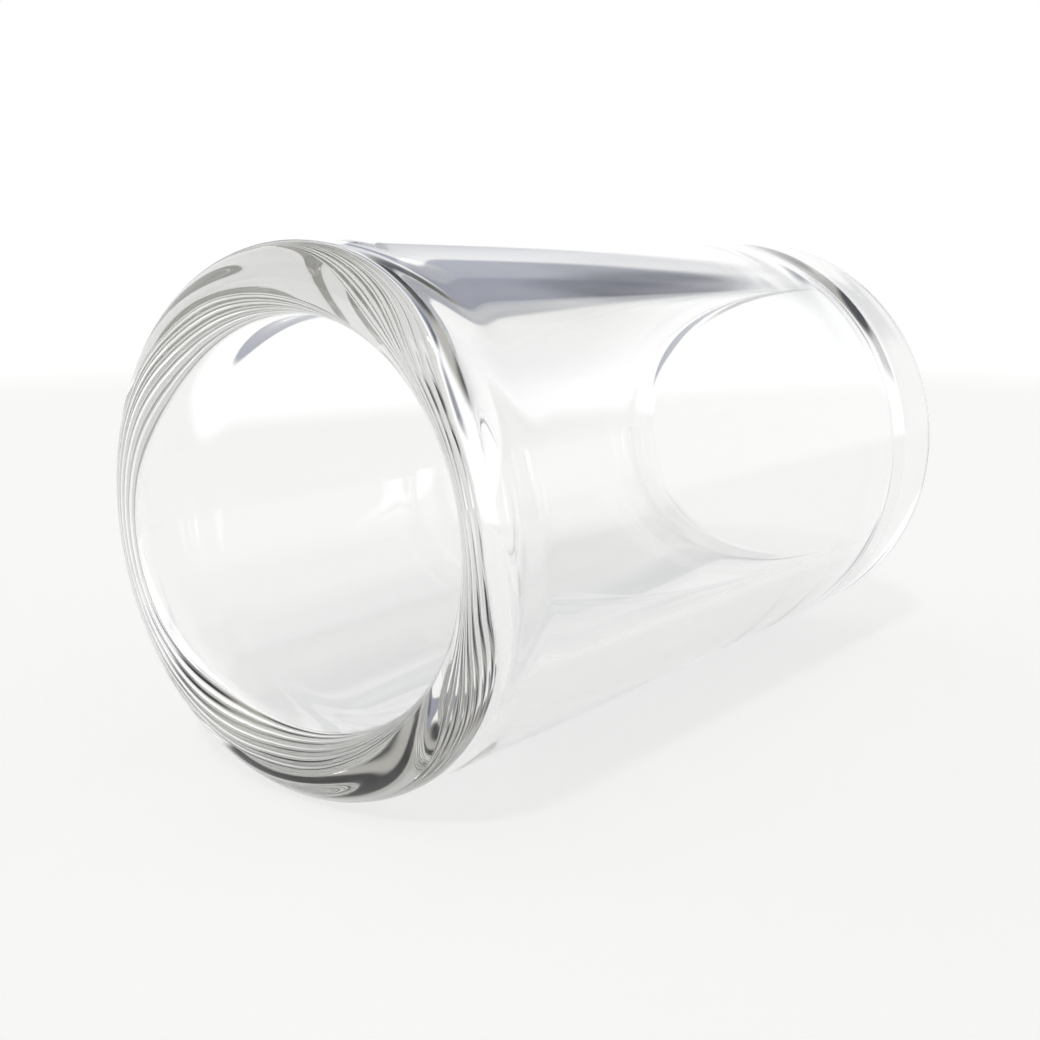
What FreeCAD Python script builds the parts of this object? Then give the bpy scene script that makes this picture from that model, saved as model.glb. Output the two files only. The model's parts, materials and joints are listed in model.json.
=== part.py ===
"""Guitar slide: a short, heavy-walled tube of clear borosilicate glass, worn on one finger.

The real object is one piece of tubing, cut to length, with both ends softened in a flame
until each lip is a full round. It is modelled as one solid in one node, lying as it rests
on a table: the bore's axis is X, +Z is up, and the origin is at the centre of the bore.
Units are millimetres.
"""

import FreeCAD
import Part

import math
import os

# ---- Driving dimensions ----
OUTER_DIAMETER = 29.0  # the playing surface that glides on the strings
BORE_DIAMETER = 22.0  # ring-finger bore
LENGTH = 51.0  # over both lips

# ---- Worked out from the driving dimensions ----
OUTER_RADIUS = OUTER_DIAMETER / 2
BORE_RADIUS = BORE_DIAMETER / 2
WALL = OUTER_RADIUS - BORE_RADIUS
LIP_RADIUS = WALL / 2  # flame polishing draws the lip into a full round, so it follows the wall
LIP_CENTRE_RADIUS = BORE_RADIUS + LIP_RADIUS
STRAIGHT_HALF = LENGTH / 2 - LIP_RADIUS  # half the length of the straight walls, between the lips

AXIS = FreeCAD.Vector(1, 0, 0)
ORIGIN = FreeCAD.Vector(0, 0, 0)
PARTS_FOLDER = "parts"


def profile_point(along, radius):
    """A point of the wall's section: distance along the bore, distance from its axis."""
    return FreeCAD.Vector(along, 0, radius)


def lip_arc(side):
    """The full-round lip of one end, from the outer wall over the tip to the bore wall.

    side is +1 for the end at +X and -1 for the other.
    """
    outer = profile_point(side * STRAIGHT_HALF, OUTER_RADIUS)
    tip = profile_point(side * LENGTH / 2, LIP_CENTRE_RADIUS)
    inner = profile_point(side * STRAIGHT_HALF, BORE_RADIUS)
    return Part.Arc(outer, tip, inner).toShape()


def wall_section():
    """The wall's section as a flat face: two straight walls joined by two lips."""
    outer_wall = Part.LineSegment(
        profile_point(-STRAIGHT_HALF, OUTER_RADIUS), profile_point(STRAIGHT_HALF, OUTER_RADIUS)
    ).toShape()
    bore_wall = Part.LineSegment(
        profile_point(-STRAIGHT_HALF, BORE_RADIUS), profile_point(STRAIGHT_HALF, BORE_RADIUS)
    ).toShape()
    edges = Part.sortEdges([outer_wall, lip_arc(1), bore_wall, lip_arc(-1)])[0]
    return Part.Face(Part.Wire(edges))


def glass_tube():
    """The whole slide: the wall's section turned about the bore's axis."""
    return wall_section().revolve(ORIGIN, AXIS, 360)


def expected_volume():
    """The volume by Pappus's theorem, to check the solid against."""
    section_area = WALL * 2 * STRAIGHT_HALF + math.pi * LIP_RADIUS**2
    return 2 * math.pi * LIP_CENTRE_RADIUS * section_area


def main():
    os.makedirs(PARTS_FOLDER, exist_ok=True)
    nodes = {"glass_tube": glass_tube()}
    for name, solid in nodes.items():
        solid.exportStep(os.path.join(PARTS_FOLDER, name + ".step"))
        print(name, "valid", solid.isValid(), "type", solid.ShapeType, "volume", round(solid.Volume, 2))
    print("expected volume", round(expected_volume(), 2))


main()
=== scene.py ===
"""Looks of the guitar slide: one short, heavy-walled tube of clear glass with flame-polished lips.

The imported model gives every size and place. One fine mesh of the glass stands for its only node,
and it lies on a pale floor in plain soft studio light. All lengths are metres unless a name says mm,
and all angles are degrees. World azimuths run from +X towards +Y.
"""

import json
import math

import bpy
from mathutils import Matrix, Vector


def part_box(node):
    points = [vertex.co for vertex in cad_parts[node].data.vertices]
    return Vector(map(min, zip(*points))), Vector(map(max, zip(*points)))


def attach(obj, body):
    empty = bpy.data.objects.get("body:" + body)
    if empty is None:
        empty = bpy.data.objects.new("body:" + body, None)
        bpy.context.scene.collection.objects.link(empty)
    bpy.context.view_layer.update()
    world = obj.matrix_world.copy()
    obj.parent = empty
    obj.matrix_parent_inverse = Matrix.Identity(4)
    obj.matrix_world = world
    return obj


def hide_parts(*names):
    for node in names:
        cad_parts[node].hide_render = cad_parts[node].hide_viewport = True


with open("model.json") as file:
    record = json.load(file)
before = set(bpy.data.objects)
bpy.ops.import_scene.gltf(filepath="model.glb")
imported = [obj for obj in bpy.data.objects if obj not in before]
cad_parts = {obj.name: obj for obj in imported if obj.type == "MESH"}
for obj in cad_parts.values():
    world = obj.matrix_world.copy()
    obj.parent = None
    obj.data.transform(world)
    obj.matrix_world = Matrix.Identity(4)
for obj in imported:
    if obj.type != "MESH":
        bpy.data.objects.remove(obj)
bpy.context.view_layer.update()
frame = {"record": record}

MM = 0.001

# ---- Sizes and places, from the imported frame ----
NODE = "glass_tube"
TUBE_LOW, TUBE_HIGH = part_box(NODE)
CENTRE = (TUBE_LOW + TUBE_HIGH) / 2
HALF_LENGTH = (TUBE_HIGH.x - TUBE_LOW.x) / 2
OUTER_RADIUS = (TUBE_HIGH.y - TUBE_LOW.y) / 2
MOUNTS = {mount["name"]: mount for mount in frame["record"]["mounts"]}
BORE_RADIUS = MOUNTS["finger_bore"]["dims"]["r_mm"] * MM
HALF_WALL = (OUTER_RADIUS - BORE_RADIUS) / 2
MID_WALL_RADIUS = BORE_RADIUS + HALF_WALL
LIP_CENTRE = HALF_LENGTH - HALF_WALL  # the full-round lip's centre, along the bore

# ---- Fineness of the mesh ----
TURN_STEPS = 512
LIP_STEPS = 22  # per quarter of a lip's round
WALL_STEPS = 16  # beside each lip, as far as the flame's softening reaches
FLAME_REACH = 6.0 * MM

# ---- Faint swelling and narrowing beside the lips: a guess at what the flame leaves ----
BEAD_HEIGHT, BEAD_DEPTH, BEAD_WIDTH = 0.26 * MM, 2.9 * MM, 1.5 * MM
WAIST_HEIGHT, WAIST_DEPTH, WAIST_WIDTH = 0.05 * MM, 3.0 * MM, 1.3 * MM

# ---- Camera: where it stands from the slide's middle, and which way it looks ----
CAMERA_AROUND = -54.7  # from -Y towards +X
CAMERA_ABOVE = 9.0
CAMERA_DISTANCE = 88.4 * MM
CAMERA_HEADING = 37.56  # azimuth of its look
CAMERA_PITCH = -11.13
CAMERA_LENS_MM = 47.05
CAMERA_SENSOR_MM = 36.0
CAMERA_REACH = 10

# ---- Stage: most of the floor's brightness is its own glow, so the slide's shadow stays faint ----
FLOOR_RADIUS = 0.33
FLOOR_SIDES = 128
FLOOR_GAP = 0.02 * MM
FLOOR_PALE = (0.38, 0.38, 0.38, 1)
FLOOR_ROUGHNESS = 0.9
FLOOR_GLOW = 0.68
FLOOR_EDGE_GLOW = 0.8
FLOOR_EVEN_SHARE = 0.6  # of its radius: from here out the glow rises to the edge

# ---- The glass, and the absorption per metre that greys light running along the wall ----
GLASS_IOR = 1.47
GLASS_TINT = (0.7, 0.7, 0.68, 1)
GLASS_DENSITY = 11.0

# ---- Its surface: hardly visible draw lines along the bore, polish marks and cloudiness ----
DRAW_STRETCH = (6, 260, 260)  # cycles per metre along and across
DRAW_DETAIL = 0
DRAW_RELIEF = 0.004 * MM
MARK_STRETCH = (300, 2600, 2600)
MARK_DETAIL = 1
MARKS_FROM, MARKS_TO = 0.64, 0.8  # only the noise's peaks leave a mark
MARK_ROUGHNESS = 0.03
CLEAREST, CLOUDIEST = (1, 1, 1, 1), (0.975, 0.982, 0.978, 1)

# ---- Paths of light: a thick lip passes light round inside it many times ----
LIGHT_BOUNCES = 32

# ---- The Mix node's colour sockets, which share their names with its other kinds ----
MIX_UNDER, MIX_OVER, MIX_RESULT = 6, 7, 2


# ------------------------------------------------------------------ glass

def softened(along, radius, normal_radial):
    """The radius after the flame: a faint bead just inside each lip and a faint waist outside it."""
    depth = HALF_LENGTH - abs(along)
    if normal_radial < 0:
        return radius + BEAD_HEIGHT * normal_radial * math.exp(-(((depth - BEAD_DEPTH) / BEAD_WIDTH) ** 2))
    return radius - WAIST_HEIGHT * normal_radial * math.exp(-(((depth - WAIST_DEPTH) / WAIST_WIDTH) ** 2))


def lip_points(side, first, last):
    """Points (along, radius) of a quarter of a lip's round, in the wall's section."""
    points = []
    for step in range(LIP_STEPS + 1):
        angle = math.radians(first + (last - first) * step / LIP_STEPS)
        along = side * LIP_CENTRE + HALF_WALL * math.cos(angle)
        radius = MID_WALL_RADIUS + HALF_WALL * math.sin(angle)
        points.append((along, softened(along, radius, math.sin(angle))))
    return points


def wall_points(radius, facing, direction):
    """Points along a straight wall between the lips, close together only where the flame reached."""
    reach = [FLAME_REACH * step / WALL_STEPS for step in range(1, WALL_STEPS + 1)]
    alongs = [LIP_CENTRE - depth for depth in reach]
    alongs += [-along for along in reversed(alongs)]
    return [(direction * along, softened(along, radius, facing)) for along in alongs]


def wall_outline():
    """The wall's section as one closed loop, from the +X lip's outer edge round by the bore."""
    loop = lip_points(1, 90, 0) + lip_points(1, 0, -90)[1:]
    loop += wall_points(BORE_RADIUS, -1, 1)
    loop += lip_points(-1, 270, 180) + lip_points(-1, 180, 90)[1:]
    loop += wall_points(OUTER_RADIUS, 1, -1)
    return loop


def outline_normals(loop):
    """Unit normals (along, radial) of the outline, square to the line between each point's neighbours."""
    normals = []
    for index, point in enumerate(loop):
        before, after = loop[index - 1], loop[(index + 1) % len(loop)]
        back = Vector((point[0] - before[0], point[1] - before[1]))
        ahead = Vector((after[0] - point[0], after[1] - point[1]))
        tangent = back * ahead.length / back.length + ahead * back.length / ahead.length
        tangent.normalize()
        normals.append((-tangent.y, tangent.x))
    return normals


def turned_mesh(name, outline):
    """The outline turned about the bore's axis, with exact normals."""
    vertices = []
    normals = []
    section_normals = outline_normals(outline)
    for turn in range(TURN_STEPS):
        angle = 2 * math.pi * turn / TURN_STEPS
        y, z = math.cos(angle), math.sin(angle)
        for (along, radius), (normal_along, normal_radial) in zip(outline, section_normals):
            vertices.append(CENTRE + Vector((along, radius * y, radius * z)))
            normals.append((normal_along, normal_radial * y, normal_radial * z))
    count = len(outline)
    faces = []
    for turn in range(TURN_STEPS):
        ring = turn * count
        following = (turn + 1) % TURN_STEPS * count
        for point in range(count):
            neighbour = (point + 1) % count
            faces.append((ring + point, following + point, following + neighbour, ring + neighbour))
    mesh = bpy.data.meshes.new(name)
    mesh.from_pydata(vertices, [], faces)
    mesh.update()
    mesh.shade_smooth()
    mesh.normals_split_custom_set_from_vertices(normals)
    return mesh


def add_object(name, data):
    made = bpy.data.objects.new(name, data)
    bpy.context.scene.collection.objects.link(made)
    return made


# ------------------------------------------------------------------ materials

def new_material(name):
    """A material with its nodes, its Principled shader and its output."""
    material = bpy.data.materials.new(name)
    material.use_nodes = True
    nodes = material.node_tree.nodes
    return material, nodes["Principled BSDF"], nodes["Material Output"]


def add_node(tree, kind, **settings):
    node = tree.nodes.new(kind)
    for key, value in settings.items():
        setattr(node, key, value)
    return node


def stretched_noise(tree, stretch, detail):
    """Noise fixed to the piece, drawn out by a different number of cycles per metre each way."""
    place = add_node(tree, "ShaderNodeTexCoord")
    mapping = add_node(tree, "ShaderNodeMapping")
    mapping.inputs["Scale"].default_value = stretch
    noise = add_node(tree, "ShaderNodeTexNoise")
    noise.inputs["Scale"].default_value = 1
    noise.inputs["Detail"].default_value = detail
    tree.links.new(place.outputs["Object"], mapping.inputs["Vector"])
    tree.links.new(mapping.outputs["Vector"], noise.inputs["Vector"])
    return noise.outputs["Fac"]


def add_polish_marks(tree, shader):
    """Fine marks left by polishing: a hardly visible change of clearness and of gloss."""
    marks = stretched_noise(tree, MARK_STRETCH, MARK_DETAIL)
    ramp = add_node(tree, "ShaderNodeValToRGB")
    ramp.color_ramp.elements[0].color = CLEAREST
    ramp.color_ramp.elements[1].color = CLOUDIEST
    tree.links.new(marks, ramp.inputs["Fac"])
    tree.links.new(ramp.outputs["Color"], shader.inputs["Base Color"])
    gloss = add_node(tree, "ShaderNodeMapRange")
    gloss.inputs["From Min"].default_value = MARKS_FROM
    gloss.inputs["From Max"].default_value = MARKS_TO
    gloss.inputs["To Min"].default_value = 0
    gloss.inputs["To Max"].default_value = MARK_ROUGHNESS
    tree.links.new(marks, gloss.inputs["Value"])
    tree.links.new(gloss.outputs["Result"], shader.inputs["Roughness"])


def add_draw_lines(tree, shader):
    """Long faint waves along the bore, from drawing the tube."""
    bump = add_node(tree, "ShaderNodeBump")
    bump.inputs["Distance"].default_value = DRAW_RELIEF
    waves = stretched_noise(tree, DRAW_STRETCH, DRAW_DETAIL)
    tree.links.new(waves, bump.inputs["Height"])
    tree.links.new(bump.outputs["Normal"], shader.inputs["Normal"])


def clear_glass():
    """Clear glass: colourless across the wall, faintly grey along it."""
    material, shader, output = new_material("clear_glass")
    tree = material.node_tree
    shader.inputs["Transmission Weight"].default_value = 1
    shader.inputs["IOR"].default_value = GLASS_IOR
    add_polish_marks(tree, shader)
    add_draw_lines(tree, shader)
    absorption = add_node(tree, "ShaderNodeVolumeAbsorption")
    absorption.inputs["Color"].default_value = GLASS_TINT
    absorption.inputs["Density"].default_value = GLASS_DENSITY
    tree.links.new(absorption.outputs["Volume"], output.inputs["Volume"])
    return material


def floor_paint():
    """A pale, even, faintly glowing table top."""
    material, shader, _ = new_material("studio_floor")
    shader.inputs["Base Color"].default_value = FLOOR_PALE
    shader.inputs["Roughness"].default_value = FLOOR_ROUGHNESS
    shader.inputs["Specular IOR Level"].default_value = 0.0
    shader.inputs["Emission Color"].default_value = (1, 1, 1, 1)
    tree = material.node_tree
    place = add_node(tree, "ShaderNodeTexCoord")
    length = add_node(tree, "ShaderNodeVectorMath", operation="LENGTH")
    tree.links.new(place.outputs["Object"], length.inputs[0])
    rise = add_node(tree, "ShaderNodeMapRange", interpolation_type="SMOOTHSTEP")
    tree.links.new(length.outputs["Value"], rise.inputs["Value"])
    rise.inputs["From Min"].default_value = FLOOR_RADIUS * FLOOR_EVEN_SHARE
    rise.inputs["From Max"].default_value = FLOOR_RADIUS
    rise.inputs["To Min"].default_value = FLOOR_GLOW
    rise.inputs["To Max"].default_value = FLOOR_EDGE_GLOW
    tree.links.new(rise.outputs["Result"], shader.inputs["Emission Strength"])
    return material


# ------------------------------------------------------------------ stage, light and camera

def add_floor():
    """A round table top that the slide rests on."""
    bpy.ops.mesh.primitive_circle_add(
        vertices=FLOOR_SIDES, radius=FLOOR_RADIUS, fill_type="NGON",
        location=(CENTRE.x, CENTRE.y, CENTRE.z - OUTER_RADIUS - FLOOR_GAP),
    )
    floor = bpy.context.object
    floor.name = "studio_floor"
    floor.data.materials.append(floor_paint())


# Soft cards all round the slide, each laid over the ones before it. They have azimuth and elevation
# of the middle, half width, half height, rise per degree of azimuth, squareness (2 is an ellipse),
# share of the edge that is blurred, colour and brightness.
ROOM = (0.46, 0.45, 0.42, 1)
CARDS = {
    "ceiling": (90, 90, 180, 22, 0, 8, 0.3, (1, 1, 1), 0.8),
    "key_light": (202, 54, 4.0, 2.5, 0, 2, 0.3, (1, 1, 1), 95.0),
    "left_softbox": (92, 12, 34, 26, 0, 4, 0.3, (0.98, 0.99, 1.0), 1.1),
    "high_right": (322, 26, 26, 12, 0, 4, 0.3, (1, 1, 1), 0.6),
    "backdrop": (20, -29, 50, 61, 0, 8, 0.05, (1, 1, 1), 1.1),
    "right_softbox": (322, -30, 20, 50, 0, 8, 0.1, (1, 1, 1), 1.15),
    "blue_wall": (39, 20.4, 23, 6.4, -0.46, 8, 0.14, (0.8, 0.84, 1.0), 0.42),
    "blue_core": (19, 26.4, 8.0, 4.0, -0.3, 3, 0.35, (0.7, 0.74, 1.0), 0.17),
    "blue_tail": (358, 21.5, 11, 3.5, 0.2, 2, 0.5, (0.8, 0.84, 1.0), 0.3),
    "dark_corner": (38, 46, 23, 13, 0, 2, 0.3, (0.8, 0.85, 1.0), 0.03),
    "dark_lamp": (342, 47, 14, 15, 0, 2, 0.3, (0.9, 0.9, 1.0), 0.01),
    "olive_wall": (160, 27, 30, 15, 0, 2, 0.3, (1.0, 0.95, 0.82), 0.4),
    "photographer": (225, 5, 62, 28, 0, 2, 0.3, (1.0, 0.96, 0.88), 0.42),
    "window_left": (307, 0, 0.6, 10, 0, 4, 0.5, (1, 1, 1), 3.0),
    "window_middle": (316.3, 1, 0.35, 10, 0, 4, 0.5, (1, 1, 1), 3.0),
    "window_right": (317.6, 3, 0.35, 10, 0, 4, 0.5, (1, 1, 1), 3.0),
}


class WorldNodes:
    """Small helpers that add arithmetic nodes to the world's tree."""

    def __init__(self, tree):
        self.tree = tree
        coordinates = add_node(tree, "ShaderNodeTexCoord")
        self.direction = coordinates.outputs["Generated"]
        split = add_node(tree, "ShaderNodeSeparateXYZ")
        tree.links.new(self.direction, split.inputs[0])
        radians = self.math("ARCSINE", split.outputs["Z"])
        self.elevation = self.math("DEGREES", radians)

    def math(self, operation, first, second=None):
        node = add_node(self.tree, "ShaderNodeMath", operation=operation)
        for socket, value in zip(node.inputs, (first, second)):
            if value is None:
                continue
            if isinstance(value, (int, float)):
                socket.default_value = value
            else:
                self.tree.links.new(value, socket)
        return node.outputs[0]

    def azimuth_from(self, azimuth):
        """Degrees of azimuth of the direction looked in, from the given azimuth."""
        turn = add_node(self.tree, "ShaderNodeVectorRotate", rotation_type="Z_AXIS")
        self.tree.links.new(self.direction, turn.inputs["Vector"])
        turn.inputs["Angle"].default_value = -math.radians(azimuth)
        split = add_node(self.tree, "ShaderNodeSeparateXYZ")
        self.tree.links.new(turn.outputs[0], split.inputs[0])
        radians = self.math("ARCTAN2", split.outputs["Y"], split.outputs["X"])
        return self.math("DEGREES", radians)

    def share(self, offset, half_size, squareness):
        """How far out towards a card's edge an offset is, raised to the card's squareness."""
        out = self.math("DIVIDE", self.math("ABSOLUTE", offset), half_size)
        return self.math("POWER", out, squareness)

    def card(self, below, middle, half_size, rise, squareness, blur, colour, brightness):
        """A soft-edged card of light laid over the colour below it."""
        offset = self.azimuth_from(middle[0])
        across = self.share(offset, half_size[0], squareness)
        level = self.math("ADD", self.math("MULTIPLY", offset, rise), middle[1])
        height = self.math("SUBTRACT", self.elevation, level)
        upward = self.share(height, half_size[1], squareness)
        total = self.math("ADD", across, upward)
        edge = add_node(self.tree, "ShaderNodeMapRange", interpolation_type="SMOOTHSTEP")
        self.tree.links.new(self.math("POWER", total, 1 / squareness), edge.inputs["Value"])
        edge.inputs["From Min"].default_value = 1 + blur
        edge.inputs["From Max"].default_value = 1 - blur
        mix = add_node(self.tree, "ShaderNodeMix", data_type="RGBA")
        factor, under, over = mix.inputs["Factor"], mix.inputs[MIX_UNDER], mix.inputs[MIX_OVER]
        self.tree.links.new(edge.outputs["Result"], factor)
        over.default_value = [channel * brightness for channel in colour] + [1]
        if isinstance(below, tuple):
            under.default_value = below
        else:
            self.tree.links.new(below, under)
        return mix.outputs[MIX_RESULT]


def light_room():
    """The studio: white to look at, and soft cards of light and dark for the glass to bend."""
    world = bpy.data.worlds.new("studio")
    bpy.context.scene.world = world
    world.use_nodes = True
    tree = world.node_tree
    nodes = WorldNodes(tree)
    colour = ROOM
    for azimuth, elevation, width, height, *look in CARDS.values():
        colour = nodes.card(colour, (azimuth, elevation), (width, height), *look)
    seen_in_glass = tree.nodes["Background"]
    tree.links.new(colour, seen_in_glass.inputs["Color"])
    seen_directly = add_node(tree, "ShaderNodeBackground")
    seen_directly.inputs["Color"].default_value = (1, 1, 1, 1)
    path = add_node(tree, "ShaderNodeLightPath")
    choice = add_node(tree, "ShaderNodeMixShader")
    tree.links.new(path.outputs["Is Camera Ray"], choice.inputs[0])
    tree.links.new(seen_in_glass.outputs[0], choice.inputs[1])
    tree.links.new(seen_directly.outputs[0], choice.inputs[2])
    tree.links.new(choice.outputs[0], tree.nodes["World Output"].inputs["Surface"])


def add_camera():
    """The camera stands close to the near mouth, a little above the bore's axis."""
    around, above = math.radians(CAMERA_AROUND), math.radians(CAMERA_ABOVE)
    back = Vector((
        math.sin(around) * math.cos(above),
        -math.cos(around) * math.cos(above),
        math.sin(above),
    ))
    heading, pitch = math.radians(CAMERA_HEADING), math.radians(CAMERA_PITCH)
    forward = Vector((
        math.cos(heading) * math.cos(pitch),
        math.sin(heading) * math.cos(pitch),
        math.sin(pitch),
    ))
    right = forward.cross(Vector((0, 0, 1))).normalized()
    up = right.cross(forward)
    camera = add_object("camera", bpy.data.cameras.new("camera"))
    turned = Matrix((right, up, -forward)).transposed().to_4x4()
    turned.translation = CENTRE + back * CAMERA_DISTANCE
    camera.matrix_world = turned
    camera.data.sensor_width = CAMERA_SENSOR_MM
    camera.data.lens = CAMERA_LENS_MM
    camera.data.clip_start = MM
    camera.data.clip_end = CAMERA_REACH
    bpy.context.scene.camera = camera


def set_light_paths():
    """Enough bounces for the lips, and colours shown as they are."""
    scene = bpy.context.scene
    scene.cycles.max_bounces = LIGHT_BOUNCES
    scene.cycles.transmission_bounces = LIGHT_BOUNCES
    scene.cycles.glossy_bounces = LIGHT_BOUNCES
    scene.view_settings.view_transform = "Standard"


# ------------------------------------------------------------------ making

def make_glass():
    """The fine glass that stands for the CAD node."""
    glass = add_object("polished_glass_tube", turned_mesh("polished_glass_tube", wall_outline()))
    glass.data.materials.append(clear_glass())
    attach(glass, "root")
    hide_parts(NODE)


add_camera()
make_glass()
add_floor()
light_room()
set_light_paths()
